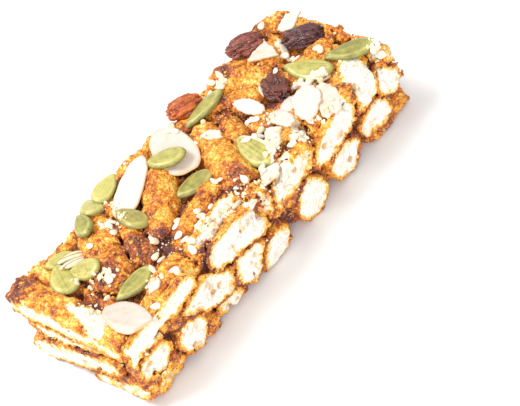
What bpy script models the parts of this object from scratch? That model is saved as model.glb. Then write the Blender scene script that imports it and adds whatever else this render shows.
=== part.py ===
"""Seed bar: puffed cereal strands bound with syrup, pressed in a tray and cut into a bar.

Pumpkin kernels, almond flakes and sesame are stuck on its top, with four raisins that lie in
dents of their own. The knife has cut the strands open on all four sides, so their round and
slanted sections show there, with gaps between them. Metres, +Z up, +X along the bar. The origin
is at the middle of the bar's base. Tables give places in millimetres on the bar's own axes.
"""

import math
import random

import bmesh
import bpy
from mathutils import Euler, Matrix, Vector
from mathutils.bvhtree import BVHTree

MM = 0.001

# Driving dimensions, in millimetres.
BAR_LENGTH = 124.0
BAR_WIDTH = 48.0
BAR_HEIGHT = 24.0
CORE_INSET = 3.2
CORE_TOP_INSET = 4.6
CORE_BASE = 2.2
KNIFE_LEAN = 3.0
RAISIN_GAP = 0.35

STRAND_SIDES = 8
STRAND_RINGS = 6
ROW_SEED = 1
LUMP_SEED = 7
SESAME_SEED = 1
WELD = 0.01

# Strands that show: x, y, z, heading, slope, length, width, height. A slope is up towards the
# heading. Heading 0 lies along +X and 90 along +Y.
UPPER_STRANDS = [
    (-58.0, 3.0, 19.2, 90, 0, 50, 11.0, 9.8),
    (-49.5, 20.0, 17.7, 80, 0, 14, 8.0, 9.0),
    (-37.0, 8.0, 18.8, 52, 0, 33, 13.0, 10.6),
    (-28.5, 3.0, 18.5, 62, 0, 22, 9.0, 10.0),
    (-16.0, 5.5, 18.8, 40, 0, 29, 11.0, 10.6),
    (-14.0, -7.5, 18.1, 10, 0, 26, 9.0, 10.0),
    (-6.0, 22.5, 18.7, 2, 0, 23, 9.5, 10.0),
    (-22.5, 19.5, 17.9, 55, 0, 18, 9.0, 9.5),
    (-39.0, 21.5, 16.7, 12, 0, 20, 9.0, 8.5),
    (-49.0, -3.0, 17.1, 70, 0, 20, 8.0, 9.0),
    (-39.0, -16.5, 18.5, 18, 0, 25, 12.0, 10.2),
    (-16.0, -15.0, 18.9, 4, 0, 27, 8.5, 10.4),
    (-1.5, -18.0, 18.3, 70, 0, 18, 10.0, 9.6),
    (5.5, -2.0, 18.9, 62, 0, 35, 11.0, 10.6),
    (16.0, 4.5, 18.3, 58, 0, 19, 9.0, 10.0),
    (25.0, 9.0, 18.8, 145, 0, 19, 9.5, 10.2),
    (34.5, 14.0, 18.9, 110, 0, 23, 11.0, 10.4),
    (14.0, 19.0, 16.9, 8, 0, 24, 10.0, 9.0),
    (3.5, 14.0, 17.3, 30, 0, 16, 9.0, 9.0),
    (44.0, 12.0, 17.7, 24, 0, 22, 11.0, 10.0),
    (56.5, 19.0, 18.8, 165, 0, 20, 9.0, 10.2),
    (53.0, -4.0, 18.9, 0, 0, 24, 13.0, 10.0),
    (58.8, 4.0, 19.2, 90, 0, 29, 9.4, 10.4),
    (59.2, -15.5, 18.7, 86, 0, 19, 8.5, 10.0),
    (46.0, -18.5, 19.1, 60, 0, 22, 14.5, 10.8),
    (20.0, -15.0, 17.9, 24, 0, 23, 11.0, 10.0),
    (33.0, -13.0, 18.1, 42, 0, 21, 12.0, 10.0),
    (39.0, 0.0, 17.5, 80, 0, 20, 10.0, 9.4),
    (27.0, -3.0, 17.1, 160, 0, 18, 9.0, 9.0),
]
SIDE_STRANDS = [
    (-49.0, -23.6, 20.8, 3, 3, 32, 9.8, 8.6),
    (-54.0, -16.0, 12.4, 82, 0, 25, 13.3, 9.8),
    (-41.0, -15.5, 8.0, 86, 0, 25, 12.3, 12.4),
    (-30.5, -23.2, 13.2, 27, -26, 30, 11.3, 10.2),
    (-14.5, -24.0, 19.5, 13, -8, 28, 11.8, 11.8),
    (-13.5, -17.0, 8.2, 74, 0, 27, 15.8, 12.4),
    (-23.0, -20.0, 3.6, 32, 0, 20, 9.8, 8.2),
    (-3.0, -17.5, 4.2, 62, 0, 25, 14.3, 10.2),
    (13.0, -14.0, 6.2, 88, 0, 29, 14.3, 13.2),
    (10.0, -22.5, 18.5, 24, 5, 25, 10.8, 10.2),
    (31.0, -15.0, 6.4, 81, 0, 27, 13.3, 11.4),
    (31.0, -22.8, 17.7, 10, 12, 27, 9.8, 9.6),
    (48.5, -16.5, 7.6, 76, 0, 26, 14.8, 11.0),
    (57.5, -20.0, 14.8, 48, 0, 20, 9.8, 11.8),
    (-50.5, -19.0, 4.6, 12, 0, 21, 10.4, 9.8),
    (53.0, -18.0, 2.2, 4, 0, 24, 10.8, 6.6),
    (-31.0, -19.0, 3.2, 14, 0, 15, 9.3, 8.0),
    (3.0, -17.0, 12.4, 150, -8, 18, 9.8, 8.8),
    (22.0, -13.0, 12.0, 70, 0, 16, 9.8, 8.8),
]
END_STRANDS = [
    (-59.0, 3.0, 13.4, 92, -6, 30, 10.0, 6.8),
    (-58.8, 3.0, 6.8, 90, -15, 40, 11.0, 9.6),
    (-58.5, -13.5, 3.8, 88, -14, 23, 10.5, 8.0),
    (-54.5, 19.5, 11.6, 58, 0, 17, 11.0, 12.2),
]
# The back and the far end aren't in sight, so their strands follow a rule: first place, last
# place and count of each row, with the strands' y, z, heading, length, width and height.
BACK_ROW = {"first": -49.0, "last": 48.0, "count": 8, "y": 15.5, "z": 5.0, "heading": 90}
BACK_HIGH_ROW = {"first": -30.0, "last": 38.0, "count": 4, "y": 20.0, "z": 14.0, "heading": 8}
MIDDLE_ROW = {"first": -46.0, "last": 44.0, "count": 5, "y": -3.0, "z": 4.8, "heading": 6}
FAR_ROW = {"first": -13.0, "last": 17.0, "count": 3, "x": 55.0, "z": 5.4, "heading": 5}
FAR_HIGH_ROW = {"first": -5.5, "last": 23.5, "count": 3, "x": 54.6, "z": 12.4, "heading": -4}
ROW_STRAND = {"length": 26.0, "width": 12.5, "height": 11.4}

# Toppings: x, y, heading, length, width.
PUMPKIN_KERNELS = [
    (-49.4, 12.0, 62, 11.5, 8.0),
    (-44.6, 7.2, 108, 11.0, 6.5),
    (-44.6, 17.6, 160, 9.5, 5.5),
    (-33.0, 18.2, 60, 11.0, 5.8),
    (-26.2, 21.6, 60, 10.0, 7.0),
    (-19.0, 22.4, 14, 11.0, 6.5),
    (-24.8, 6.6, 84, 12.0, 7.5),
    (-3.4, 11.6, 132, 12.0, 7.8),
    (-5.4, 0.4, 168, 13.0, 7.6),
    (-41.8, -8.2, 173, 12.8, 6.4),
    (17.8, 14.7, 172, 15.0, 6.6),
    (11.5, -8.7, 79, 15.5, 8.2),
    (42.3, -5.8, 105, 15.3, 7.7),
    (53.4, -13.2, 140, 15.0, 8.0),
]
# x, y, heading, length, width, corners. Few corners make a broken flake.
ALMOND_FLAKES = [
    (-52.8, -15.2, 73, 18.6, 10.6, 12),
    (-15.6, 15.0, 21, 21.5, 8.4, 12),
    (1.2, 13.1, 64, 20.0, 12.5, 12),
    (43.6, 12.4, 70, 11.6, 11.2, 3),
    (57.0, 12.2, 150, 9.6, 6.0, 4),
    (18.4, -10.2, 64, 9.0, 6.0, 4),
    (24.0, -9.4, 76, 12.0, 5.4, 8),
    (31.4, -13.2, 46, 14.0, 8.8, 8),
    (34.6, -18.2, 46, 13.5, 8.4, 6),
    (29.8, -7.4, 20, 8.0, 5.6, 5),
    (6.0, -18.6, 8, 9.0, 6.0, 4),
    (24.2, 2.8, 101, 10.8, 5.2, 5),
    (9.4, 4.6, 110, 7.0, 4.4, 5),
    (-41.0, -15.6, 10, 5.5, 4.0, 4),
]
# x, y, z of the middle, heading, length, width, height
RAISINS = {
    "raisin_1": (16.6, 21.8, 22.6, 150, 12.5, 8.5, 7.0),
    "raisin_2": (44.8, 20.2, 23.1, 144, 14.0, 8.5, 7.0),
    "raisin_3": (54.0, 5.0, 23.4, 135, 14.0, 9.0, 6.4),
    "raisin_4": (33.2, -0.2, 23.2, 60, 12.0, 9.0, 6.2),
}
# x, y of the middle, spread, count
SESAME_CLUSTERS = [
    (-29.6, 10.0, 2.2, 3),
    (-39.6, 10.5, 1.2, 1),
    (-27.5, -2.6, 1.6, 2),
    (-32.0, -9.0, 3.0, 3),
    (-19.5, -6.5, 3.0, 3),
    (-25.6, -13.6, 2.4, 4),
    (-12.5, -9.0, 2.6, 3),
    (-3.4, -8.5, 2.8, 2),
    (0.2, -14.0, 1.0, 1),
    (8.6, -15.8, 2.6, 2),
    (17.0, -5.0, 2.6, 3),
    (19.6, -18.5, 2.4, 3),
    (20.4, 0.4, 1.4, 2),
    (6.2, 18.4, 1.8, 2),
    (29.0, 17.6, 1.6, 3),
    (39.6, 4.8, 1.0, 1),
    (46.6, 5.2, 1.8, 3),
    (50.6, -3.0, 2.6, 2),
    (52.6, 19.6, 1.4, 1),
    (39.4, -10.6, 2.2, 3),
    (56.6, -20.4, 1.6, 2),
    (-35.0, -19.0, 2.0, 2),
    (-47.0, -21.0, 2.0, 1),
    (26.0, 20.5, 1.5, 2),
]
SESAME_LENGTH = 3.2
SESAME_WIDTH = 1.9
SESAME_HEIGHT = 1.1
KERNEL_HEIGHT = 2.7
FLAKE_HEIGHT = 1.3


def clear_scene():
    """An empty scene, so that only the bar is in it."""
    for obj in list(bpy.data.objects):
        bpy.data.objects.remove(obj, do_unlink=True)


def new_collection(name):
    collection = bpy.data.collections.new(name)
    bpy.context.scene.collection.children.link(collection)
    return collection


def link_mesh(name, bm, collection):
    """The bmesh as a named object of the collection, with its faces pointing out."""
    if bm.calc_volume(signed=True) < 0:
        bmesh.ops.reverse_faces(bm, faces=bm.faces)
    mesh = bpy.data.meshes.new(name)
    bm.to_mesh(mesh)
    bm.free()
    obj = bpy.data.objects.new(name, mesh)
    collection.objects.link(obj)
    return obj


def material(name, colour, roughness):
    made = bpy.data.materials.new(name)
    made.use_nodes = True
    shader = made.node_tree.nodes["Principled BSDF"]
    shader.inputs["Base Color"].default_value = (*colour, 1.0)
    shader.inputs["Roughness"].default_value = roughness
    shader.inputs["Metallic"].default_value = 0.0
    return made


def hidden_strands(rng):
    """Strands of the back, the middle of the base and the far end, placed by rule."""
    found = []
    for row in (BACK_ROW, BACK_HIGH_ROW, MIDDLE_ROW, FAR_ROW, FAR_HIGH_ROW):
        step = (row["last"] - row["first"]) / (row["count"] - 1)
        for i in range(row["count"]):
            place = row["first"] + i * step + rng.uniform(-1.2, 1.2)
            x = row.get("x", place)
            y = row.get("y", place)
            found.append(
                (
                    x,
                    y + rng.uniform(-1.5, 1.5),
                    row["z"] + rng.uniform(-0.6, 0.8),
                    row["heading"] + rng.uniform(-16, 16),
                    rng.uniform(-5, 5),
                    ROW_STRAND["length"] + rng.uniform(-2, 3),
                    ROW_STRAND["width"] * rng.uniform(0.9, 1.1),
                    ROW_STRAND["height"] * rng.uniform(0.92, 1.04),
                )
            )
    return found


def placed(x, y, z, heading, slope):
    """Matrix that lays a piece, made along +X at the origin, in its place on the bar."""
    turn = Euler((0, -math.radians(slope), math.radians(heading)), "XYZ").to_matrix()
    return Matrix.Translation(Vector((x, y, z)) * MM) @ turn.to_4x4()


def make_strand(row, number, collection, rng):
    """A puffed strand: a rod with an oval section and round ends, a little lumpy."""
    x, y, z, heading, slope, length, width, height = row
    bm = bmesh.new()
    bmesh.ops.create_uvsphere(bm, u_segments=STRAND_SIDES, v_segments=STRAND_RINGS, radius=1.0)
    straight = max(length - height, 0.0) / 2
    for vertex in bm.verts:
        along, across, up = vertex.co.z, vertex.co.y, vertex.co.x
        reach = math.copysign(straight, along) if abs(along) > 0.01 else 0.0
        lump = 1.0 + rng.uniform(-0.05, 0.05)
        vertex.co = (
            (reach + along * height / 2) * MM,
            across * width / 2 * lump * MM,
            up * height / 2 * lump * MM,
        )
    bm.transform(placed(x, y, z, heading, slope))
    return link_mesh(f"strand_{number}", bm, collection)


def make_box(name, low, high, collection):
    bm = bmesh.new()
    bmesh.ops.create_cube(bm, size=1.0)
    for vertex in bm.verts:
        vertex.co = [(a + (c + 0.5) * (b - a)) * MM for a, b, c in zip(low, high, vertex.co)]
    return link_mesh(name, bm, collection)


def make_knife_block(collection):
    """What the knife and the tray leave: upright ends, sides that lean in a little at the top."""
    lean = math.tan(math.radians(KNIFE_LEAN))
    above = BAR_HEIGHT + 10.0
    bm = bmesh.new()
    bmesh.ops.create_cube(bm, size=1.0)
    for vertex in bm.verts:
        z = above if vertex.co.z > 0 else 0.0
        half_width = BAR_WIDTH / 2 + 0.6 - z * lean
        half_length = BAR_LENGTH / 2 + 0.3 - z * lean / 2
        vertex.co = (
            math.copysign(half_length, vertex.co.x) * MM,
            math.copysign(half_width, vertex.co.y) * MM,
            z * MM,
        )
    return link_mesh("knife_block", bm, collection)


def make_ovoid(name, matrix, size, sides, rings, point, collection):
    """An egg or kernel form of the given size, more pointed at its +X end as point grows."""
    bm = bmesh.new()
    bmesh.ops.create_uvsphere(bm, u_segments=sides, v_segments=rings, radius=0.5)
    for vertex in bm.verts:
        along, across, up = vertex.co.z, vertex.co.y, vertex.co.x
        taper = 1.0 - point * (along + 0.5) ** 2
        vertex.co = (
            along * size[0] * MM,
            across * taper * size[1] * MM,
            up * taper * size[2] * MM,
        )
    bm.transform(matrix)
    return link_mesh(name, bm, collection)


def make_flake(name, matrix, length, width, corners, collection):
    """A thin slice of almond, or a broken corner of one: a flat outline with a thickness."""
    bm = bmesh.new()
    bmesh.ops.create_cone(
        bm, cap_ends=True, segments=corners, radius1=0.5, radius2=0.47, depth=1.0
    )
    for vertex in bm.verts:
        taper = 1.0 - 0.35 * max(vertex.co.x, 0.0)
        vertex.co = (
            vertex.co.x * length * MM,
            vertex.co.y * taper * width * MM,
            vertex.co.z * FLAKE_HEIGHT * MM,
        )
    bm.transform(matrix)
    return link_mesh(name, bm, collection)


def apply_boolean(body, operation, other=None, collection=None):
    """Joins or cuts the body, applies that, and removes what it was joined with or cut by."""
    modifier = body.modifiers.new("boolean", "BOOLEAN")
    modifier.operation = operation
    modifier.solver = "MANIFOLD"
    if other is None:
        modifier.operand_type = "COLLECTION"
        modifier.collection = collection
    else:
        modifier.object = other
    bpy.context.view_layer.update()
    evaluated = body.evaluated_get(bpy.context.evaluated_depsgraph_get())
    mesh = bpy.data.meshes.new_from_object(evaluated)
    body.modifiers.clear()
    body.data = mesh
    for used in [other] if other is not None else list(collection.objects):
        bpy.data.objects.remove(used, do_unlink=True)


def keep_largest_body(obj):
    """Welds slivers, then drops loose scraps and fills hollows that the joining has sealed."""
    bm = bmesh.new()
    bm.from_mesh(obj.data)
    bmesh.ops.remove_doubles(bm, verts=bm.verts, dist=WELD * MM)
    unseen = set(bm.faces)
    bodies = []
    while unseen:
        found = {unseen.pop()}
        front = list(found)
        while front:
            near = {f for face in front for edge in face.edges for f in edge.link_faces}
            front = [face for face in near if face in unseen]
            unseen.difference_update(front)
            found.update(front)
        bodies.append(found)
    largest = max(bodies, key=len)
    scraps = [face for face in bm.faces if face not in largest]
    bmesh.ops.delete(bm, geom=scraps, context="FACES")
    bm.to_mesh(obj.data)
    bm.free()


class Surface:
    """The bar's top as it stands, on which a topping is dropped."""

    def __init__(self, obj):
        bm = bmesh.new()
        bm.from_mesh(obj.data)
        self.tree = BVHTree.FromBMesh(bm)
        bm.free()

    def height(self, x, y):
        """Height of the top at a place, in millimetres, or None beside the bar."""
        hit = self.tree.ray_cast(Vector((x * MM, y * MM, 0.1)), Vector((0, 0, -1)))
        return None if hit[0] is None else hit[0].z / MM

    def rest(self, x, y, heading, length, width):
        """Where a flat piece rests: on the highest of nine places under it, and its tilt."""
        turn = Matrix.Rotation(math.radians(heading), 2)
        rows = []
        for along in (-0.32, 0.0, 0.32):
            for across in (-0.3, 0.0, 0.3):
                offset = turn @ Vector((along * length, across * width))
                height = self.height(x + offset.x, y + offset.y)
                if height is not None and height > BAR_HEIGHT - 6:
                    rows.append((along * length, across * width, height))
        if not rows:
            return None
        middle = sum(r[2] for r in rows) / len(rows)
        pitch = sum(r[0] * (r[2] - middle) for r in rows) / max(sum(r[0] ** 2 for r in rows), 1)
        roll = sum(r[1] * (r[2] - middle) for r in rows) / max(sum(r[1] ** 2 for r in rows), 1)
        pitch = max(-0.3, min(0.3, pitch))
        roll = max(-0.35, min(0.35, roll))
        level = max(r[2] - pitch * r[0] - roll * r[1] for r in rows)
        return level, pitch, roll


def topping_matrix(surface, x, y, heading, length, width, lift):
    """A dropped topping's place: lift is how far its middle is above where it rests."""
    rest = surface.rest(x, y, heading, length, width)
    if rest is None:
        return None
    level, pitch, roll = rest
    turn = Euler((math.atan(roll), -math.atan(pitch), math.radians(heading)), "XYZ")
    return Matrix.Translation(Vector((x, y, level + lift)) * MM) @ turn.to_matrix().to_4x4()


def scatter_sesame(rng):
    """x, y and heading of each sesame seed, from the clusters."""
    found = []
    for x, y, spread, count in SESAME_CLUSTERS:
        for _ in range(count):
            along = rng.gauss(0, spread * 0.6)
            across = rng.gauss(0, spread * 0.6)
            found.append((x + along, y + across, rng.uniform(0, 180)))
    return found


def add_toppings(body, collection):
    """Kernels, flakes and sesame, laid on the strands and fused to them."""
    surface = Surface(body)
    for i, (x, y, heading, length, width, corners) in enumerate(ALMOND_FLAKES):
        matrix = topping_matrix(surface, x, y, heading, length, width, -0.1)
        make_flake(f"flake_{i}", matrix, length, width, corners, collection)
    for i, (x, y, heading, length, width) in enumerate(PUMPKIN_KERNELS):
        matrix = topping_matrix(surface, x, y, heading, length, width, 0.35)
        size = (length, width * 1.1, KERNEL_HEIGHT)
        make_ovoid(f"kernel_{i}", matrix, size, 8, 5, 0.38, collection)
    seeds = scatter_sesame(random.Random(SESAME_SEED))
    for i, (x, y, heading) in enumerate(seeds):
        matrix = topping_matrix(surface, x, y, heading, SESAME_LENGTH, SESAME_WIDTH, 0.2)
        if matrix is not None:
            size = (SESAME_LENGTH, SESAME_WIDTH * 1.1, SESAME_HEIGHT)
            make_ovoid(f"sesame_{i}", matrix, size, 5, 3, 0.4, collection)


def raisin_form(name, row, grow, collection):
    """A shrivelled raisin: an egg form with deep folds that run along it."""
    x, y, z, heading, length, width, height = row
    bm = bmesh.new()
    bmesh.ops.create_icosphere(bm, subdivisions=3, radius=0.5)
    for vertex in bm.verts:
        angle = math.atan2(vertex.co.z, vertex.co.y)
        fold = 0.07 * math.cos(5 * angle + 4 * vertex.co.x + x)
        fold += 0.04 * math.cos(9 * vertex.co.x + 2 * angle + y)
        swell = 1.0 + fold
        vertex.co = (
            vertex.co.x * (length + grow) * MM,
            vertex.co.y * swell * (width + grow) * MM,
            vertex.co.z * swell * (height + grow) * MM,
        )
    bm.transform(placed(x, y, z, heading, 0))
    return link_mesh(name, bm, collection)


def stand_at_origin(objects):
    """Moves all of it, so that the box round it is centred on the origin and stands at 0."""
    points = [v.co for obj in objects for v in obj.data.vertices]
    low = Vector([min(p[i] for p in points) for i in range(3)])
    high = Vector([max(p[i] for p in points) for i in range(3)])
    shift = Vector((-(low.x + high.x) / 2, -(low.y + high.y) / 2, -low.z))
    for obj in objects:
        obj.data.transform(Matrix.Translation(shift))


def build():
    clear_scene()
    seed_bar = new_collection("seed_bar")
    joined = new_collection("joined_pieces")
    cutters = new_collection("cutters")

    half_length = BAR_LENGTH / 2 - CORE_INSET
    half_width = BAR_WIDTH / 2 - CORE_INSET
    body = make_box(
        "bar",
        (-half_length, -half_width, CORE_BASE),
        (half_length, half_width, BAR_HEIGHT - CORE_TOP_INSET),
        seed_bar,
    )
    hidden = hidden_strands(random.Random(ROW_SEED))
    lumps = random.Random(LUMP_SEED)
    for number, row in enumerate(UPPER_STRANDS + SIDE_STRANDS + END_STRANDS + hidden):
        make_strand(row, number, joined, lumps)
    apply_boolean(body, "UNION", collection=joined)
    apply_boolean(body, "INTERSECT", other=make_knife_block(cutters))

    add_toppings(body, joined)
    apply_boolean(body, "UNION", collection=joined)
    raisins = []
    for name, row in RAISINS.items():
        dent = raisin_form(name + "_dent", row, 2 * RAISIN_GAP, cutters)
        apply_boolean(body, "DIFFERENCE", other=dent)
        raisins.append(raisin_form(name, row, 0.0, seed_bar))
    keep_largest_body(body)

    body.data.materials.clear()
    body.data.materials.append(material("toasted_strand", (0.62, 0.30, 0.07), 0.6))
    dried_fruit = material("dried_fruit", (0.10, 0.03, 0.03), 0.35)
    for raisin in raisins:
        raisin.data.materials.clear()
        raisin.data.materials.append(dried_fruit)
        raisin.data.shade_smooth()
    stand_at_origin([body, *raisins])
    for helper in (joined, cutters):
        bpy.data.collections.remove(helper)


build()
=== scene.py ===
"""Looks of the seed bar: toasted puffed strands, white foam where the knife cut them, and toppings.

The strands are carved from a distance field on a grid: each one is a lumpy rod, the knife cuts it
at its own depth, and neighbours meet in a groove. The toppings are dropped on that surface.
Tables give places in millimetres on the bar's own axes, as in the part's source.
"""

import math
import random
from itertools import product

import bpy
import numpy as np
from mathutils import Euler, Matrix, Vector
from mathutils.bvhtree import BVHTree


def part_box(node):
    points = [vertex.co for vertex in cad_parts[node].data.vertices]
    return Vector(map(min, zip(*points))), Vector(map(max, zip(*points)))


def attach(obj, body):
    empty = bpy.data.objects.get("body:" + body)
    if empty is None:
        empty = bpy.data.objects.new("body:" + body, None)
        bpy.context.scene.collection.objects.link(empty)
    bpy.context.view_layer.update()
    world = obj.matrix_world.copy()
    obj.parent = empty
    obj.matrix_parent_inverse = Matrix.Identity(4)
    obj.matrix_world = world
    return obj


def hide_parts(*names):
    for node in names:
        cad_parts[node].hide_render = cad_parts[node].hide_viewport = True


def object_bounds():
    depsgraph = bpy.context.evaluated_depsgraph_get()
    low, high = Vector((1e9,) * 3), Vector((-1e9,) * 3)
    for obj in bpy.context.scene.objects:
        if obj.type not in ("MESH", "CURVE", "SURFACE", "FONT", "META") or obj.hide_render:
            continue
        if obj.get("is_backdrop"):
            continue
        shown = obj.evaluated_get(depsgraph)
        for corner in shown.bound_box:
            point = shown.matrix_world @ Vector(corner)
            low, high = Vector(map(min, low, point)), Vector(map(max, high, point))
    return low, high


MM = 0.001

# Driving dimensions of the bar, in millimetres.
BAR_LENGTH = 124.0
BAR_WIDTH = 48.0
BAR_HEIGHT = 24.0
CORE_INSET = 3.4
CORE_TOP_INSET = 4.8
CORE_BASE = 2.4
KNIFE_LEAN = 3.0
KNIFE_REACH = (62.3, 24.6)
BAR_LOW_CORNER = (-62.2, -24.6)

# The grid's step in millimetres, then the margin inside the box and the floor in metres.
VOXEL = 0.36
BOX_MARGIN = 0.00002
FLOOR_HALF = 3.0
FLOOR_DROP = 0.0001
BODY_TRIANGLES = 192000

# How deep the knife's and the tray's edges are rounded, and the pits in the foam.
EDGE_ROUNDING = 1.2
PIT_CELL = 2.3
PIT_SEED = 21

ROW_SEED = 1
STRAND_SEED = 7
SESAME_SEED = 1
FLAKE_SEED = 31
KERNEL_SEED = 33
SMALL_SEED_SEED = 35
CRUMB_SEED = 61

# Strands that show: x, y, z of the middle, heading, slope, length, width, height.
UPPER_STRANDS = [
    (-58, 3, 19.2, 90, 0, 50, 11, 9.8), (-49.5, 20, 17.7, 80, 0, 14, 8, 9),
    (-37, 8, 18.8, 52, 0, 33, 13, 10.6), (-28.5, 3, 18.5, 62, 0, 22, 9, 10),
    (-16, 5.5, 18.8, 40, 0, 29, 11, 10.6), (-14, -7.5, 18.1, 10, 0, 26, 9, 10),
    (-6, 22.5, 18.7, 2, 0, 23, 9.5, 10), (-22.5, 19.5, 17.9, 55, 0, 18, 9, 9.5),
    (-39, 21.5, 16.7, 12, 0, 20, 9, 8.5), (-49, -3, 17.1, 70, 0, 20, 8, 9),
    (-39, -16.5, 18.5, 18, 0, 25, 12, 10.2), (-16, -15, 18.9, 4, 0, 27, 8.5, 10.4),
    (-1.5, -18, 18.3, 70, 0, 18, 10, 9.6), (5.5, -2, 18.9, 62, 0, 35, 11, 10.6),
    (16, 4.5, 18.3, 58, 0, 19, 9, 10), (25, 9, 18.8, 145, 0, 19, 9.5, 10.2),
    (34.5, 14, 18.9, 110, 0, 23, 11, 10.4), (14, 19, 16.9, 8, 0, 24, 10, 9),
    (3.5, 14, 17.3, 30, 0, 16, 9, 9), (44, 12, 17.7, 24, 0, 22, 11, 10),
    (56.5, 19, 18.8, 165, 0, 20, 9, 10.2), (53, -4, 18.9, 0, 0, 24, 13, 10),
    (58.8, 4, 19.2, 90, 0, 29, 9.4, 10.4), (59.2, -15.5, 18.7, 86, 0, 19, 8.5, 10),
    (46, -18.5, 19.1, 60, 0, 22, 14.5, 10.8), (20, -15, 17.9, 24, 0, 23, 11, 10),
    (33, -13, 18.1, 42, 0, 21, 12, 10), (39, 0, 17.5, 80, 0, 20, 10, 9.4),
    (27, -3, 17.1, 160, 0, 18, 9, 9),
]
SIDE_STRANDS = [
    (-49, -23.6, 20.8, 3, 3, 32, 9.8, 8.6), (-54, -16, 12.4, 82, 0, 25, 13.3, 9.8),
    (-41, -15.5, 8, 86, 0, 25, 12.3, 12.4), (-30.5, -23.2, 13.2, 27, -26, 30, 11.3, 10.2),
    (-14.5, -24, 19.5, 13, -8, 28, 11.8, 11.8), (-13.5, -17, 8.2, 74, 0, 27, 15.8, 12.4),
    (-23, -20, 3.6, 32, 0, 20, 9.8, 8.2), (-3, -17.5, 4.2, 62, 0, 25, 14.3, 10.2),
    (13, -14, 6.2, 88, 0, 29, 14.3, 13.2), (10, -22.5, 18.5, 24, 5, 25, 10.8, 10.2),
    (31, -15, 6.4, 81, 0, 27, 13.3, 11.4), (31, -22.8, 17.7, 10, 12, 27, 9.8, 9.6),
    (48.5, -16.5, 7.6, 76, 0, 26, 14.8, 11), (57.5, -20, 14.8, 48, 0, 20, 9.8, 11.8),
    (-50.5, -19, 4.6, 12, 0, 21, 10.4, 9.8), (53, -18, 2.2, 4, 0, 24, 10.8, 6.6),
    (-31, -19, 3.2, 14, 0, 15, 9.3, 8), (3, -17, 12.4, 150, -8, 18, 9.8, 8.8),
    (22, -13, 12, 70, 0, 16, 9.8, 8.8),
]
END_STRANDS = [
    (-59, 3, 13.4, 92, -6, 30, 10, 6.8), (-58.8, 3, 6.8, 90, -15, 40, 11, 9.6),
    (-58.5, -13.5, 3.8, 88, -14, 23, 10.5, 8), (-54.5, 19.5, 11.6, 58, 0, 17, 11, 12.2),
]
# Rows of strands at the back, in the middle and at the far end.
BACK_ROW = {"first": -49.0, "last": 48.0, "count": 8, "y": 15.5, "z": 5.0, "heading": 90}
BACK_HIGH_ROW = {"first": -30.0, "last": 38.0, "count": 4, "y": 20.0, "z": 14.0, "heading": 8}
MIDDLE_ROW = {"first": -46.0, "last": 44.0, "count": 5, "y": -3.0, "z": 4.8, "heading": 6}
FAR_ROW = {"first": -13.0, "last": 17.0, "count": 3, "x": 55.0, "z": 5.4, "heading": 5}
FAR_HIGH_ROW = {"first": -5.5, "last": 23.5, "count": 3, "x": 54.6, "z": 12.4, "heading": -4}
ROW_STRAND = {"length": 26.0, "width": 12.5, "height": 11.4}

# Toppings: x, y, heading, length, width.
PUMPKIN_KERNELS = [
    (-49.4, 12, 62, 11.5, 8), (-44.6, 7.2, 108, 11, 6.5), (-44.6, 17.6, 160, 9.5, 5.5),
    (-33, 18.2, 60, 11, 5.8), (-26.2, 21.6, 60, 10, 7), (-19, 22.4, 14, 11, 6.5),
    (-24.8, 6.6, 84, 12, 7.5), (-3.4, 11.6, 132, 12, 7.8), (-5.4, 0.4, 168, 13, 7.6),
    (-41.8, -8.2, 173, 12.8, 6.4), (17.8, 14.7, 172, 15, 6.6), (11.5, -8.7, 79, 15.5, 8.2),
    (42.3, -5.8, 105, 15.3, 7.7), (53.4, -13.2, 140, 15, 8),
]
# x, y, heading, length, width, corners. Fewer than ten corners make a broken piece.
ALMOND_FLAKES = [
    (-52.9, -15.7, 73, 18.8, 10.8, 12), (-15.6, 15, 21, 21.5, 8.4, 12),
    (1.2, 13.1, 64, 20, 12.5, 12), (43.6, 12.4, 70, 11.6, 11.2, 3), (57, 12.2, 150, 9.6, 6, 4),
    (18.4, -10.2, 64, 9, 6, 4), (24, -9.4, 76, 12, 5.4, 8), (31.4, -13.2, 46, 14, 8.8, 8),
    (34.6, -18.2, 46, 13.5, 8.4, 6), (29.8, -7.4, 20, 8, 5.6, 5), (6, -18.6, 8, 9, 6, 4),
    (24.2, 2.8, 101, 10.8, 5.2, 5), (9.4, 4.6, 110, 7, 4.4, 5), (-41, -15.6, 10, 5.5, 4, 4),
]
# x, y, z of the middle, heading, length, width, height
RAISINS = {
    "raisin_1": (16.6, 21.8, 22.6, 150, 12.5, 8.5, 7.0),
    "raisin_2": (44.8, 20.2, 23.1, 144, 14.0, 8.5, 7.0),
    "raisin_3": (54.0, 5.0, 23.4, 135, 14.0, 9.0, 6.4),
    "raisin_4": (33.2, -0.2, 23.2, 60, 12.0, 9.0, 6.2),
}
# The shallow hollow that the corner flake is pressed in, as a raisin's row.
FLAKE_DENT = (-52.5, -20.5, 27.0, 0, 18.0, 12.0, 5.0)
# x, y of the middle, spread, count
SESAME_CLUSTERS = [
    (-29.6, 10, 2.2, 3), (-39.6, 10.5, 1.2, 1), (-27.5, -2.6, 1.6, 2), (-32, -9, 3, 3),
    (-19.5, -6.5, 3, 3), (-25.6, -13.6, 2.4, 4), (-12.5, -9, 2.6, 3), (-3.4, -8.5, 2.8, 2),
    (0.2, -14, 1, 1), (8.6, -15.8, 2.6, 2), (17, -5, 2.6, 3), (19.6, -18.5, 2.4, 3),
    (20.4, 0.4, 1.4, 2), (6.2, 18.4, 1.8, 2), (29, 17.6, 1.6, 3), (39.6, 4.8, 1, 1),
    (46.6, 5.2, 1.8, 3), (50.6, -3, 2.6, 2), (52.6, 19.6, 1.4, 1), (39.4, -10.6, 2.2, 3),
    (56.6, -20.4, 1.6, 2), (-35, -19, 2, 2), (-47, -21, 2, 1), (26, 20.5, 1.5, 2),
]
SESAME_LENGTH = 3.2
SESAME_WIDTH = 1.9
SESAME_HEIGHT = 1.1
KERNEL_HEIGHT = 2.7
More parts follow.
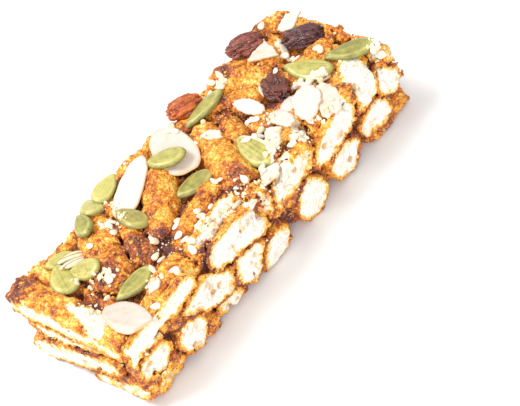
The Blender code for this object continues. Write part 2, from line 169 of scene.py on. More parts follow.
FLAKE_HEIGHT = 1.2
PROBE_HEIGHT = 60.0
WHOLE_CORNERS = 10

# Dark toasted patches on the top: x, y, radius.
TOAST_PATCHES = [
    (-58, 20, 6), (-43.5, 0.5, 5), (-54, -2, 3.5), (-32, 0, 6), (-26, -6, 5), (-31, -8, 5),
    (-25, -21, 4.5), (-22, 3, 3), (-6, -12, 4.5), (1, -10, 4), (12, -18, 4), (17, 8, 3.5),
    (-14, 19, 3.5), (32, 19, 4), (23, 14, 3), (29, -1, 3.5), (47, 3, 3), (50, 22, 3.5),
    (-49, -9, 3),
]
# Places where the skin is torn off and foam shows: x, y, heading, length, width.
TORN_PATCHES = [
    (-57.4, -7.2, 80, 16, 5.8), (-57, 1.2, 80, 4.5, 3), (-15.5, -16, 5, 17, 5.5),
    (-5, -21.5, 12, 9, 4), (16, -17.5, 20, 9, 5), (24, -16, 40, 8, 5), (8, -21, 20, 11, 5),
    (46.5, -19.5, 55, 15, 9), (53, -20.5, 30, 8, 5), (34, -21, 40, 9, 6), (-44, -12, 20, 7, 3),
]
# Crumbs of foam: x, y, spread, count, largest radius.
CRUMB_CLUSTERS = [
    (-46.8, 3.6, 1.4, 14, 0.8), (-44.4, -0.8, 2.2, 30, 1), (-49.2, -4.5, 0.3, 2, 1.2),
    (-48, 8.4, 1.2, 6, 0.7), (-29.5, 12, 2.4, 20, 0.9), (-38, -14, 3.4, 16, 0.7),
    (-55.5, -3, 3, 18, 0.8), (-17, -14.5, 3.6, 40, 1), (-12, -17.5, 3, 24, 0.9),
    (-3, -16, 3, 20, 0.8), (3, -17.9, 2.6, 22, 0.9), (14.5, -14.5, 2.6, 34, 1),
    (19.5, -19, 2.8, 30, 0.9), (23.5, -5, 2.2, 24, 0.9), (20.5, 0.5, 1.8, 12, 0.8),
    (40.5, -11, 2.2, 32, 1), (29, 17.5, 1.6, 12, 1.3), (7, 19.5, 1.8, 12, 1), (59, 20, 1.4, 8, 1),
    (49, 10.5, 1.6, 18, 1.1), (47.5, 4.5, 1.6, 14, 1.1), (57, -19.5, 2.2, 20, 1.1),
    (37, -5.5, 1.4, 10, 0.9), (30.5, -20.5, 2.6, 20, 0.9), (46, -14.5, 3, 18, 0.8),
    (-22, 16.5, 3, 12, 0.8), (9, 10, 4, 12, 0.7), (-26.5, 9, 1.8, 16, 0.6), (-28, -9.5, 3, 18, 0.5),
]
SMALLEST_CRUMB = 0.22
FINE_CRUMBS = (0.16, 0.55)
# Numbers of the kernels that are brownish, that are peeled at the edge, and that lie level.
BROWN_KERNELS = (6,)
PEELED_KERNELS = (11,)
LEVEL_KERNELS = (13,)
# Numbers of the whole flakes with one end snapped off.
SNAPPED_FLAKES = (0,)
# Striped sunflower kernels: x, y, heading, length, width.
SUNFLOWER_KERNELS = [
    (-42.7, 15, 152, 8.2, 3.4), (-44.2, 12.6, 160, 8.2, 3.2),
]
# Slivers of almond: x, y, heading, length, width.
ALMOND_SLIVERS = [
    (48.6, 9, 56, 9.5, 2.4), (36.2, -5.6, 120, 4.6, 1.8), (36.9, -8.2, 100, 4.4, 2.2),
    (30.8, 3.4, 60, 4, 1.6), (13.4, -14.8, 150, 6, 2.6), (21, -18.6, 30, 6.5, 2.8),
    (26.5, -17.5, 70, 5, 2.2), (17.6, -4.6, 100, 5, 2.2), (-8.8, -19, 20, 5, 2),
    (41.8, -11.4, 140, 5, 2.4),
]


def smoothstep(low, high, value):
    t = np.clip((value - low) / (high - low), 0.0, 1.0)
    return t * t * (3.0 - 2.0 * t)


NOISE_SIZE = 64


def lattice(seed):
    return np.random.default_rng(seed).uniform(-1, 1, (NOISE_SIZE,) * 3).astype(np.float32)


def noise_axis(values, cell):
    """For one axis of a noise: the cells on both sides, and how far it is to the second."""
    scaled = values / cell
    base = np.floor(scaled)
    share = (scaled - base).astype(np.float32)
    share = share * share * (3.0 - 2.0 * share)
    base = base.astype(np.int64)
    return base % NOISE_SIZE, (base + 1) % NOISE_SIZE, share


def blend_lattice(values, x, y, z):
    """Trilinear mix of the eight cell corners round each point."""
    total = 0.0
    sides = [((axis[0], 1.0 - axis[2]), (axis[1], axis[2])) for axis in (x, y, z)]
    for (i, x_share), (j, y_share), (k, z_share) in product(*sides):
        total = total + values[i, j, k] * (x_share * y_share * z_share)
    return total


def noise(points, cell, seed):
    """Smooth noise from -1 to 1 at points given as three arrays that broadcast together."""
    cells = cell if isinstance(cell, tuple) else (cell,) * 3
    x, y, z = (noise_axis(p, c) for p, c in zip(points, cells))
    return blend_lattice(lattice(seed), x, y, z)


def noises(points, *layers):
    """Sum of noises, each given by its amount, cell and seed."""
    return sum(amount * noise(points, cell, seed) for amount, cell, seed in layers)


def along_across(x, y, heading):
    """Offsets x and y as seen along and across a heading."""
    h = math.radians(heading)
    return x * math.cos(h) + y * math.sin(h), y * math.cos(h) - x * math.sin(h)


def nearest_pit(points):
    """Distance from each point to the nearest pit's wall: one pit in each cell, of any size."""
    rng = np.random.default_rng(PIT_SEED)
    size = 32
    place = rng.uniform(0.1, 0.9, (size, size, size, 3)).astype(np.float32)
    radius = (0.05 + 0.33 * rng.uniform(0, 1, (size, size, size)) ** 4).astype(np.float32)
    scaled = points / PIT_CELL
    base = np.floor(scaled).astype(np.int64)
    inside = (scaled - base).astype(np.float32)
    best = np.full(len(points), 9.0, np.float32)
    for step in np.array(list(product((-1, 0, 1), repeat=3))):
        index = tuple(((base + step) % size).T)
        away = np.linalg.norm(place[index] + step - inside, axis=1) - radius[index]
        best = np.minimum(best, away)
    return best * PIT_CELL


def hidden_strands(rng):
    """Strands of the back, the middle of the base and the far end, placed by rule."""
    found = []
    for row in (BACK_ROW, BACK_HIGH_ROW, MIDDLE_ROW, FAR_ROW, FAR_HIGH_ROW):
        step = (row["last"] - row["first"]) / (row["count"] - 1)
        for i in range(row["count"]):
            place = row["first"] + i * step + rng.uniform(-1.2, 1.2)
            strand = [row.get("x", place), row.get("y", place) + rng.uniform(-1.5, 1.5)]
            strand += [row["z"] + rng.uniform(-0.6, 0.8), row["heading"] + rng.uniform(-16, 16)]
            strand += [rng.uniform(-5, 5), ROW_STRAND["length"] + rng.uniform(-2, 3)]
            strand += [ROW_STRAND["width"] * rng.uniform(0.9, 1.1)]
            strand += [ROW_STRAND["height"] * rng.uniform(0.92, 1.04)]
            found.append(strand)
    return found


class Grid:
    """The block of points on which the bar is carved, in millimetres."""

    def __init__(self):
        self.low = np.array((-63.6, -26.2, -1.1))
        high = np.array((63.6, 26.2, 26.4))
        self.shape = tuple(np.ceil((high - self.low) / VOXEL).astype(int) + 1)
        self.axes = [self.low[i] + VOXEL * np.arange(self.shape[i]) for i in range(3)]
        self.points = np.meshgrid(*self.axes, indexing="ij", sparse=True)

    def part(self, block):
        """x, y and z of the points of a block."""
        x, y, z = self.points
        return x[block[0]], y[:, block[1]], z[:, :, block[2]]

    def block(self, centre, reach):
        """Slices of the grid's part within reach of a centre."""
        slices = []
        for i in range(3):
            first = int((centre[i] - reach[i] - self.low[i]) / VOXEL)
            last = int((centre[i] + reach[i] - self.low[i]) / VOXEL) + 2
            slices.append(slice(max(first, 0), max(min(last, self.shape[i]), 0)))
        return tuple(slices)

    def sample(self, field, points):
        """The field's value at points (n, 3)."""
        scaled = np.clip((points - self.low) / VOXEL, 0, np.array(self.shape) - 1.001)
        base = scaled.astype(np.int64)
        share = scaled - base
        total = 0.0
        for corner in np.array(list(product((0, 1), repeat=3))):
            weight = np.prod(np.abs(1 - corner - share), axis=1)
            total = total + field[tuple((base + corner).T)] * weight
        return total


def strand_distance(grid, block, row, bend, lumps):
    """Distance to a strand's skin at the points of a block, less than zero inside it."""
    x, y, z, heading, slope, length, width, height = row
    h, s = math.radians(heading), math.radians(slope)
    along = np.array((math.cos(h) * math.cos(s), math.sin(h) * math.cos(s), math.sin(s)))
    across = np.array((-math.sin(h), math.cos(h), 0.0))
    up = np.cross(along, across)
    offsets = [(p - c).astype(np.float32) for p, c in zip(grid.part(block), (x, y, z))]
    u, v, w = (
        offsets[0] * axis[0] + offsets[1] * axis[1] + offsets[2] * axis[2]
        for axis in (along, across, up)
    )
    v = v - bend * ((2 * u / length) ** 2 - 0.35)
    straight = max(length - height, 0.0) / 2
    end = np.maximum(np.abs(u) - straight, 0.0)
    radius = np.sqrt(end * end + (v * height / width) ** 2 + w * w)
    return radius - height / 2 + lumps[block]


def knife_distance(grid, block):
    """Distance to the knife's and the tray's faces, with edges a little rounded."""
    lean = math.tan(math.radians(KNIFE_LEAN))
    x, y, z = grid.part(block)
    side_x = np.abs(x) - (KNIFE_REACH[0] - z * lean / 2) + EDGE_ROUNDING
    side_y = np.abs(y) - (KNIFE_REACH[1] - z * lean) + EDGE_ROUNDING
    base = -z + EDGE_ROUNDING
    outside = np.sqrt(sum(np.maximum(side, 0) ** 2 for side in (side_x, side_y, base)))
    inside = np.minimum(np.maximum(np.maximum(side_x, side_y), base), 0)
    return (outside + inside - EDGE_ROUNDING).astype(np.float32)


def torn_depth(grid):
    """How deep the top's skin is torn off at each place."""
    x, y, z = grid.points
    ragged = noises(grid.points, (0.34, 2.4, 19), (0.22, 1.1, 20))
    torn = np.zeros(grid.shape, np.float32)
    for cx, cy, heading, length, width in TORN_PATCHES:
        u, v = along_across(x - cx, y - cy, heading)
        u, v = u / (length / 2), v / (width / 2)
        inside = 1.0 - smoothstep(0.75, 1.15, np.sqrt(u * u + v * v) + ragged)
        torn = np.maximum(torn, inside * smoothstep(15.5, 17.5, z))
    return torn.astype(np.float32)


def carve_bar(grid):
    """Fields of the bar: its surface, how deep in a strand a point is, and how near a crease."""
    rows = UPPER_STRANDS + SIDE_STRANDS + END_STRANDS + hidden_strands(random.Random(ROW_SEED))
    rng = random.Random(STRAND_SEED)
    lumps = noises(grid.points, (0.60, 7.5, 11), (0.42, 3.2, 12)) - 0.1
    lumps = lumps.astype(np.float32)
    waves = noises(grid.points, (0.40, 9.0, 13), (0.30, 2.6, 14))
    knobs = noises(grid.points, (0.42, 1.8, 15), (0.32, 0.95, 16))
    crack = np.maximum(0.14 - np.abs(noise(grid.points, 3.4, 24)), 0.0) / 0.14
    crack = crack * smoothstep(-0.10, 0.30, noise(grid.points, 7.0, 25))
    groove = 0.14 + 0.16 * noise(grid.points, 4.0, 17)

    first = np.full(grid.shape, 20.0, np.float32)
    second = np.full(grid.shape, 20.0, np.float32)
    kept = []
    for row in rows:
        reach = max(row[5], row[6]) / 2 + 4.0
        block = grid.block(row[:3], (reach, reach, max(row[6], row[7]) / 2 + 5.0))
        bend = rng.uniform(-0.9, 0.9)
        distance = strand_distance(grid, block, row, bend, lumps)
        kept.append((block, distance))
        nearest = first[block]
        second[block] = np.minimum(second[block], np.maximum(nearest, distance))
        first[block] = np.minimum(nearest, distance)

    surface = np.full(grid.shape, 20.0, np.float32)
    depth = np.zeros(grid.shape, np.float32)
    for block, distance in kept:
        nearest = first[block]
        other = np.where(distance <= nearest, second[block], nearest)
        own = np.maximum(distance, (distance - other) / 2 + groove[block])
        inset = rng.uniform(0.0, 1.0) ** 2 * 1.5
        knife = knife_distance(grid, block) + inset + np.maximum(waves[block], -inset)
        piece = np.maximum(own, knife)
        wins = piece < surface[block]
        surface[block] = np.where(wins, piece, surface[block])
        depth[block] = np.where(wins, -own, depth[block])

    x, y, z = grid.points
    core = np.maximum(
        np.maximum(np.abs(x) - BAR_LENGTH / 2 + CORE_INSET, np.abs(y) - BAR_WIDTH / 2 + CORE_INSET),
        np.maximum(CORE_BASE - z, z - BAR_HEIGHT + CORE_TOP_INSET),
    )
    core = core + 1.3 * noise(grid.points, 4.5, 26) + 0.9 * noise(grid.points, 2.2, 18)
    core = core.astype(np.float32)
    is_core = core < surface
    surface = np.minimum(surface, core)
    depth = np.where(is_core, 0.0, depth)

    crease = 1.0 - smoothstep(0.0, 1.7, second - first)
    torn = torn_depth(grid) * (1.0 - crease)
    foam = np.maximum(smoothstep(0.3, 0.9, depth), torn)
    chips = 2.2 * np.maximum(noise(grid.points, 3.0, 22) - 0.28, 0.0)
    chips = chips + 0.28 * noise(grid.points, 1.3, 23)
    rough = knobs * (1.0 - 0.75 * foam) + chips * foam + 0.75 * torn + 0.55 * crack
    surface = (surface + rough).astype(np.float32)
    return {
        "surface": surface,
        "depth": depth.astype(np.float32),
        "crease": np.maximum(crease, is_core).astype(np.float32),
        "core": is_core.astype(np.float32),
        "torn": torn,
        "crack": crack.astype(np.float32),
    }


def dig_pits(grid, fields):
    """Small round holes in the foam where the knife opened it."""
    near = (np.abs(fields["surface"]) < 1.2) & (fields["depth"] > 0.6)
    index = np.nonzero(near)
    points = np.stack([grid.axes[i][index[i]] for i in range(3)], 1)
    surface = fields["surface"][index]
    fields["surface"][index] = np.maximum(surface, -nearest_pit(points))


def dig_dents(grid, fields):
    """Hollows in which the raisins and the flake at the corner lie."""
    for x, y, z, heading, length, width, height in (*RAISINS.values(), FLAKE_DENT):
        u, v = along_across(grid.points[0] - x, grid.points[1] - y, heading)
        u, v, w = u / (length / 2), v / (width / 2), (grid.points[2] - z) / (height / 2)
        away = (np.sqrt(u * u + v * v + w * w) - 1.0) * height / 2
        fields["surface"] = np.maximum(fields["surface"], -away).astype(np.float32)


def surface_mesh(grid, field):
    """Quads round the field's zero level: one point in each cell that the level crosses."""
    inside = field < 0
    size = tuple(n - 1 for n in field.shape)
    corners = np.zeros(size, np.int8)
    for corner in product((0, 1), repeat=3):
        corners += inside[tuple(slice(c, n + c) for c, n in zip(corner, size))]
    active = (corners > 0) & (corners < 8)
    cells = np.argwhere(active)
    number = np.full(active.shape, -1, np.int64)
    number[active] = np.arange(len(cells))

    total = np.zeros((len(cells), 3))
    count = np.zeros(len(cells))
    for axis in range(3):
        others = [a for a in range(3) if a != axis]
        for a, b in product((0, 1), repeat=2):
            start = cells.copy()
            start[:, others[0]] += a
            start[:, others[1]] += b
            end = start.copy()
            end[:, axis] += 1
            value_1 = field[tuple(start.T)]
            value_2 = field[tuple(end.T)]
            crossed = (value_1 < 0) != (value_2 < 0)
            share = value_1 / np.where(crossed, value_1 - value_2, 1.0)
            point = start.astype(float)
            point[:, axis] += share
            total[crossed] += point[crossed]
            count[crossed] += 1
    verts = grid.low + VOXEL * total / count[:, None]

    quads = []
    for axis in range(3):
        lower = [slice(1, n - 1) for n in field.shape]
        upper = list(lower)
        lower[axis] = slice(0, field.shape[axis] - 1)
        upper[axis] = slice(1, field.shape[axis])
        before, after = inside[tuple(lower)], inside[tuple(upper)]
        for leaves in (True, False):
            crossed = (before & ~after) if leaves else (~before & after)
            place = np.argwhere(crossed)
            for a in range(3):
                if a != axis:
                    place[:, a] += 1
            b, c = (axis + 1) % 3, (axis + 2) % 3
            ring = []
            for db, dc in ((-1, -1), (0, -1), (0, 0), (-1, 0)):
                cell = place.copy()
                cell[:, b] += db
                cell[:, c] += dc
                ring.append(number[tuple(cell.T)])
            if not leaves:
                ring.reverse()
            quads.append(np.stack(ring, 1))
    return verts, np.concatenate(quads)


def largest_body(verts, quads):
    """The outer skin alone, without sealed hollows and loose scraps."""
    label = np.arange(len(verts))
    edges = np.concatenate([quads[:, (i, (i + 1) % 4)] for i in range(4)])
    while True:
        lowest = np.minimum(label[edges[:, 0]], label[edges[:, 1]])
        before = label.copy()
        np.minimum.at(label, edges[:, 0], lowest)
        np.minimum.at(label, edges[:, 1], lowest)
        label = label[label]
        if np.array_equal(before, label):
            break
    names, counts = np.unique(label, return_counts=True)
    keep = label == names[np.argmax(counts)]
    quads = quads[keep[quads[:, 0]]]
    number = np.cumsum(keep) - 1
    return verts[keep], number[quads]


def add_object(name, data):
    obj = bpy.data.objects.new(name, data)
    bpy.context.scene.collection.objects.link(obj)
    return obj


def mesh_object(name, verts, faces):
    """An object from points in metres and faces that all have as many corners."""
    faces = np.asarray(faces, np.int32)
    sides = faces.shape[1]
    mesh = bpy.data.meshes.new(name)
    mesh.vertices.add(len(verts))
    mesh.vertices.foreach_set("co", np.asarray(verts, np.float32).ravel())
    mesh.loops.add(faces.size)
    mesh.loops.foreach_set("vertex_index", faces.ravel())
    mesh.polygons.add(len(faces))
    mesh.polygons.foreach_set("loop_start", np.arange(0, faces.size, sides, dtype=np.int32))
    mesh.polygons.foreach_set("use_smooth", np.full(len(faces), True))
    mesh.update(calc_edges=True)
    mesh.validate()
    return add_object(name, mesh)


def read_vectors(obj, kind):
    values = np.empty(len(obj.data.vertices) * 3, np.float32)
    obj.data.vertices.foreach_get(kind, values)
    return values.reshape(-1, 3)


def read_points(obj):
    return read_vectors(obj, "co").astype(float)


def write_points(obj, points):
    obj.data.vertices.foreach_set("co", np.asarray(points, np.float32).ravel())
    obj.data.update()


def point_attribute(obj, name, values):
    attribute = obj.data.attributes.new(name, "FLOAT", "POINT")
    attribute.data.foreach_set("value", np.asarray(values, np.float32))


def reduce_triangles(obj, most):
    """Collapses the flattest edges until the mesh has at most so many triangles."""
    triangles = sum(len(p.vertices) - 2 for p in obj.data.polygons)
    if triangles <= most:
        return
    modifier = obj.modifiers.new("reduce", "DECIMATE")
    modifier.ratio = most / triangles
    bpy.context.view_layer.update()
    evaluated = obj.evaluated_get(bpy.context.evaluated_depsgraph_get())
    mesh = bpy.data.meshes.new_from_object(evaluated)
    obj.modifiers.clear()
    obj.data = mesh
    mesh.shade_smooth()


def box_blur(field, cells):
    """Mean of the field over a cube of 2 * cells + 1 points a side."""
    for axis in range(3):
        padding = [(0, 0)] * 3
        padding[axis] = (cells + 1, cells)
        total = np.cumsum(np.pad(field, padding, mode="edge"), axis=axis, dtype=np.float64)
        size = field.shape[axis]
        ahead = np.take(total, range(2 * cells + 1, 2 * cells + 1 + size), axis=axis)
        behind = np.take(total, range(size), axis=axis)
        field = ((ahead - behind) / (2 * cells + 1)).astype(np.float32)
    return field


class Placing:
    """From the bar's own axes in millimetres to the frame in metres, and back."""

    def __init__(self):
        low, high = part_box("bar")
        self.low, self.high = (np.array(corner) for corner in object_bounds())
        self.shift = np.array(
            (low[0] / MM - BAR_LOW_CORNER[0], low[1] / MM - BAR_LOW_CORNER[1], low[2] / MM)
        )

    def metres(self, points):
        return (np.asarray(points) + self.shift) * MM

    def millimetres(self, points):
        return np.asarray(points) / MM - self.shift

    def inside(self, points):
        """The points, in metres, kept within the CAD's box."""
        return np.clip(points, self.low + BOX_MARGIN, self.high - BOX_MARGIN)


def make_strands(placing):
    """The carved bar. The tray pressed its underside flat, so that has skin and no cut foam."""
    grid = Grid()
    fields = carve_bar(grid)
    dig_pits(grid, fields)
    dig_dents(grid, fields)
    solid = (fields["surface"] < 0).astype(np.float32)
    # How solid the bar is round each point, near and wider out, for painted shade in hollows and
    # gaps.
    fields["hollow"] = box_blur(solid, 4)
    fields["shade"] = box_blur(solid, 9)
    verts, quads = largest_body(*surface_mesh(grid, fields["surface"]))
    obj = mesh_object("strands", placing.metres(verts), quads)
    reduce_triangles(obj, BODY_TRIANGLES)
    points = placing.inside(read_points(obj))
    write_points(obj, points)
    places = placing.millimetres(points)
    pressed = smoothstep(0.3, 0.7, -read_vectors(obj, "normal")[:, 2])
    pressed = pressed * (1.0 - smoothstep(2.5, 4.0, places[:, 2]))
    depth = grid.sample(fields["depth"], places) * (1.0 - pressed)
    point_attribute(obj, "depth", np.clip(depth / 3.0, 0, 1))
    for name in ("crease", "core", "torn", "hollow", "shade", "crack"):
        point_attribute(obj, name, grid.sample(fields[name], places))
    pit = nearest_pit(places)
    point_attribute(obj, "pit", (1.0 - smoothstep(0.0, 0.35, pit)) * smoothstep(0.5, 0.9, depth))
    toast = np.zeros(len(places))
    for x, y, radius in TOAST_PATCHES:
        away = np.hypot(places[:, 0] - x, places[:, 1] - y) / radius
        toast = np.maximum(toast, 1.0 - smoothstep(0.3, 1.2, away))
    point_attribute(obj, "toast", toast * smoothstep(15.0, 18.0, places[:, 2]))
    # Painted shade: the skin is darker low on the bar's sides.
    point_attribute(obj, "side", 1.0 - smoothstep(13.0, 18.5, places[:, 2]))
    return obj


def lens(outline, height, rings, sides):
    """A closed flat body: an outline given by angle, and its height above and below by ring."""
    angles = np.arange(sides) * 2 * math.pi / sides
    edge = outline(angles)
    middle = float(height(0.0, 0.0))
    steps = [math.sin(0.5 * math.pi * (i + 1) / rings) for i in range(rings - 1)]
    bands = [(r, np.broadcast_to(height(r, angles), sides)) for r in steps]
    points = [(0.0, 0.0, middle)]
    for r, level in bands:
        points += [(r * e[0], r * e[1], float(h)) for e, h in zip(edge, level)]
    points += [(e[0], e[1], 0.0) for e in edge]
    for r, level in reversed(bands):
        points += [(r * e[0], r * e[1], -float(h)) for e, h in zip(edge, level)]
    points.append((0.0, 0.0, -middle))
    last = len(points) - 1
    start = last - sides
    faces = []
    for i in range(sides):
        j = (i + 1) % sides
        faces.append((0, 1 + i, 1 + j, 1 + j))
        for a in range(1, start, sides):
            faces.append((a + i, a + sides + i, a + sides + j, a + j))
        faces.append((start + i, last, last, start + j))
    ring = [0.0] + [r for r in steps + [1.0] + steps[::-1] for _ in range(sides)] + [0.0]
    return np.array(points), faces, np.array(ring)


def tapered(length, width, taper):
    """The outline of a seed that narrows to one end."""

    def outline(angle):
        x = length / 2 * np.cos(angle)
        y = width / 2 * np.sin(angle) * (1 - taper * np.cos(angle))
        return np.stack((x, y), 1)

    return outline


class Heap:
    """Many small bodies gathered in one mesh, each with a tone of its own."""

    def __init__(self, name):
        self.name = name
        self.points = []
        self.triangles = []
        self.values = {}
        self.count = 0

    def add(self, points, faces, matrix, **values):
        turned = points @ np.array(matrix.to_3x3()).T + np.array(matrix.translation)
        for face in faces:
            corners = [self.count + c for c in dict.fromkeys(face)]
            self.triangles.append((corners[0], corners[1], corners[2]))
            if len(corners) == 4:
                self.triangles.append((corners[0], corners[2], corners[3]))
        self.points.append(turned)
        for key, value in values.items():
            full = np.broadcast_to(np.asarray(value, float), len(points))
            self.values.setdefault(key, []).append(full)
        self.count += len(points)

    def lay(self, surface, spot, body, rng, lift, steepest, place=3, **values):
        """Adds a body that lies on the surface at x, y, heading, length, width."""
        points, faces, ring, across = body
        matrix = surface.matrix(*spot, lift, steepest, place)
        self.add(points, faces, matrix, ring=ring, tone=rng.random(), across=across, **values)

    def build(self, placing):
        points = placing.inside(placing.metres(np.concatenate(self.points)))
        obj = mesh_object(self.name, points, self.triangles)
        for key, parts in self.values.items():
            point_attribute(obj, key, np.concatenate(parts))
        return obj


class Surface:
    """The bar as it stands, on which a topping is dropped, in millimetres on its own axes."""

    def __init__(self, objects, placing):
        points = []
        polygons = []
        for obj in objects:
            first = len(points)
            points += [Vector(p) for p in placing.millimetres(read_points(obj))]
            polygons += [tuple(first + v for v in p.vertices) for p in obj.data.polygons]
        self.tree = BVHTree.FromPolygons(points, polygons)

    def height(self, x, y):
        hit = self.tree.ray_cast(Vector((x, y, PROBE_HEIGHT)), Vector((0, 0, -1)))
        return None if hit[0] is None else hit[0].z

    def matrix(self, x, y, heading, length, width, lift, steepest, place=3):
        """Place and turn of a flat piece that rests on what is under it.

        It sinks in until as many of the probed points as the place says are above its underside.
        """
        turn = Matrix.Rotation(math.radians(heading), 2)
        rows = []
        for along, across in product((-0.34, -0.17, 0.0, 0.17, 0.34), (-0.3, 0.0, 0.3)):
            offset = turn @ Vector((along * length, across * width))
            height = self.height(x + offset.x, y + offset.y)
            if height is not None and height > BAR_HEIGHT - 6:
                rows.append((along * length, across * width, height))
        if not rows:
            return None
        middle = sum(r[2] for r in rows) / len(rows)
        tilts = []
        for k in (0, 1):
            tilt = sum(r[k] * (r[2] - middle) for r in rows) / max(sum(r[k] ** 2 for r in rows), 1)
            tilts.append(max(-steepest, min(steepest, tilt)))
        pitch, roll = tilts
        gaps = sorted(r[2] - pitch * r[0] - roll * r[1] for r in rows)
        level = gaps[-place] if len(gaps) > 4 else gaps[-1]
        turn = Euler((math.atan(roll), -math.atan(pitch), math.radians(heading)), "XYZ")
        return Matrix.Translation(Vector((x, y, level + lift))) @ turn.to_matrix().to_4x4()


def broken_outline(corners, length, width, rng, jagged=0.05):
    """A function from angle to the edge of a broken piece: straight sides with small teeth."""
    tips = []
    for i in range(corners):
        turn = math.pi / 2 - 2 * math.pi * i / corners + rng.uniform(-0.15, 0.15)
        reach = rng.uniform(0.92, 1.08)
        tips.append((reach * math.cos(turn), reach * math.sin(turn)))
    tips.reverse()
    phase = [rng.uniform(0, 6.28) for _ in range(3)]

    def outline(angles):
        found = []
        for a in angles:
            share = (a / (2 * math.pi)) * corners
            i = int(share) % corners
            t = share - int(share)
            here, there = tips[i], tips[(i + 1) % corners]
            bow = 1 + 0.10 * math.sin(math.pi * t)
            waves = zip((1, 0.7, 0.5), (5, 11, 17), phase)
            tooth = 1 + jagged * sum(w * math.sin(n * a + p) for w, n, p in waves)
            x, y = (here[k] * (1 - t) + there[k] * t for k in (0, 1))
            found.append((length / 2 * x * bow * tooth, width / 2 * y * bow * tooth))
        return np.array(found)

    return outline


def kernel_body(length, width, rng):
    """A hulled pumpkin seed: an egg outline with a point, a raised rim and a flat middle."""
    point = rng.uniform(0.18, 0.28)
    bend = rng.uniform(-0.008, 0.014)
    dent = rng.uniform(0.0, 0.10)

    def outline(angle):
        x = length / 2 * (np.cos(angle) + 0.05 * np.cos(angle) ** 9)
        y = width / 2 * np.sin(angle) * (1 - point * np.cos(angle))
        return np.stack((x, y * (1 - 0.14 * np.maximum(np.cos(angle), 0) ** 3)), 1)

    def height(r, angle):
        dome = (1 - r**2.6) ** 0.5
        rim = 0.11 * math.exp(-(((r - 0.80) / 0.09) ** 2))
        valley = dent * math.exp(-((r / 0.5) ** 2))
        return KERNEL_HEIGHT / 2 * (dome * 0.94 + rim - valley)

    points, faces, ring = lens(outline, height, 10, 32)
    across = points[:, 1] / width
    points[:, 2] += bend * (points[:, 0] ** 2) - 0.010 * points[:, 1] ** 2
    points[:, 1] += 0.006 * rng.uniform(-1, 1) * points[:, 0] ** 2
    return points, faces, ring, across


def flake_body(length, width, corners, broken, rng):
    """A thin slice of almond, or a broken piece of one, slightly dished."""
    if corners >= WHOLE_CORNERS:

        def outline(angle):
            c, s = np.cos(angle), np.sin(angle)
            x = length / 2 * np.sign(c) * np.abs(c) ** 0.84
            y = width / 2 * np.sign(s) * np.abs(s) ** (0.70 if broken else 0.84)
            y = y * (1 - 0.16 * c)
            if broken:
                x = np.maximum(x, -0.92 * length / 2 - 0.25 * y)
            ripple = 1 + 0.012 * np.sin(7 * angle + length) + 0.008 * np.sin(13 * angle + width)
            return np.stack((x, y), 1) * ripple[:, None]

    else:
        outline = broken_outline(corners, length, width, rng)

    def height(r, angle):
        return FLAKE_HEIGHT / 2 * (1 - 0.2 * r**2) * (1 - r**16) ** 0.5

    points, faces, ring = lens(outline, height, 8, 56)
    across = points[:, 1] / width
    points[:, 2] += 0.010 * points[:, 1] ** 2 + rng.uniform(-0.003, 0.004) * points[:, 0] ** 2
    points[:, 2] += 0.10 * np.sin(points[:, 0] * 1.1 + length) * np.cos(points[:, 1] * 0.9)
    return points, faces, ring, across


def sliver_body(length, width, rng):
    """A chip of almond, thick in the middle and broken at its ends."""

    def height(r, angle):
        return 0.55 * (1 - 0.3 * r**2) * (1 - r**12) ** 0.5

    outline = broken_outline(6, length, width, rng, 0.06)
    points, faces, ring = lens(outline, height, 4, 24)
    return points, faces, ring, points[:, 1] / width


def sesame_body(rng):
    length = SESAME_LENGTH * rng.uniform(0.88, 1.08)
    width = SESAME_WIDTH * rng.uniform(0.88, 1.1)

    def height(r, angle):
        return SESAME_HEIGHT / 2 * (1 - r * r) ** 0.5 * (1 - 0.1 * math.exp(-((r / 0.3) ** 2)))

    return lens(tapered(length, width, 0.38), height, 5, 14)


def sunflower_body(length, width):
    """A sunflower kernel: long, pointed at one end and round in section."""

    def height(r, angle):
        return 0.95 * (1 - r * r) ** 0.5

    points, faces, ring = lens(tapered(length, width, 0.45), height, 7, 24)
    return points, faces, ring, points[:, 1] / width


def scatter_sesame(rng):
    """x, y and heading of each sesame seed, from the clusters."""
    found = []
    for x, y, spread, count in SESAME_CLUSTERS:
        for _ in range(count):
            along = rng.gauss(0, spread * 0.6)
            across = rng.gauss(0, spread * 0.6)
            found.append((x + along, y + across, rng.uniform(0, 180)))
    return found


def near_raisin(x, y, margin):
    """Whether a place on the top is within a raisin's outline, grown by a margin."""
    for cx, cy, _, heading, length, width, _ in RAISINS.values():
        u, v = along_across(x - cx, y - cy, heading)
        u, v = u / (length / 2 + margin), v / (width / 2 + margin)
        if u * u + v * v < 1:
            return True
    return False


def make_flakes(surface, placing):
    rng = random.Random(FLAKE_SEED)
    heap = Heap("almond_flakes")
    for i, (*spot, corners) in enumerate(ALMOND_FLAKES):
        lift, place = (0.35, 1) if corners >= WHOLE_CORNERS else (0.25, 3)
        body = flake_body(*spot[3:], corners, i in SNAPPED_FLAKES, rng)
        heap.lay(surface, spot, body, rng, lift, 0.3, place)
    for spot in ALMOND_SLIVERS:
        heap.lay(surface, spot, sliver_body(*spot[3:], rng), rng, 0.45, 0.5)
    return heap.build(placing)


def make_kernels(surface, placing):
    rng = random.Random(KERNEL_SEED)
    heap = Heap("pumpkin_kernels")
    for i, spot in enumerate(PUMPKIN_KERNELS):
        steepest = 0.10 if i in LEVEL_KERNELS else 0.35
        looks = {"dull": float(i in BROWN_KERNELS), "peel": float(i in PEELED_KERNELS)}
        heap.lay(surface, spot, kernel_body(*spot[3:], rng), rng, 0.55, steepest, **looks)
    return heap.build(placing)


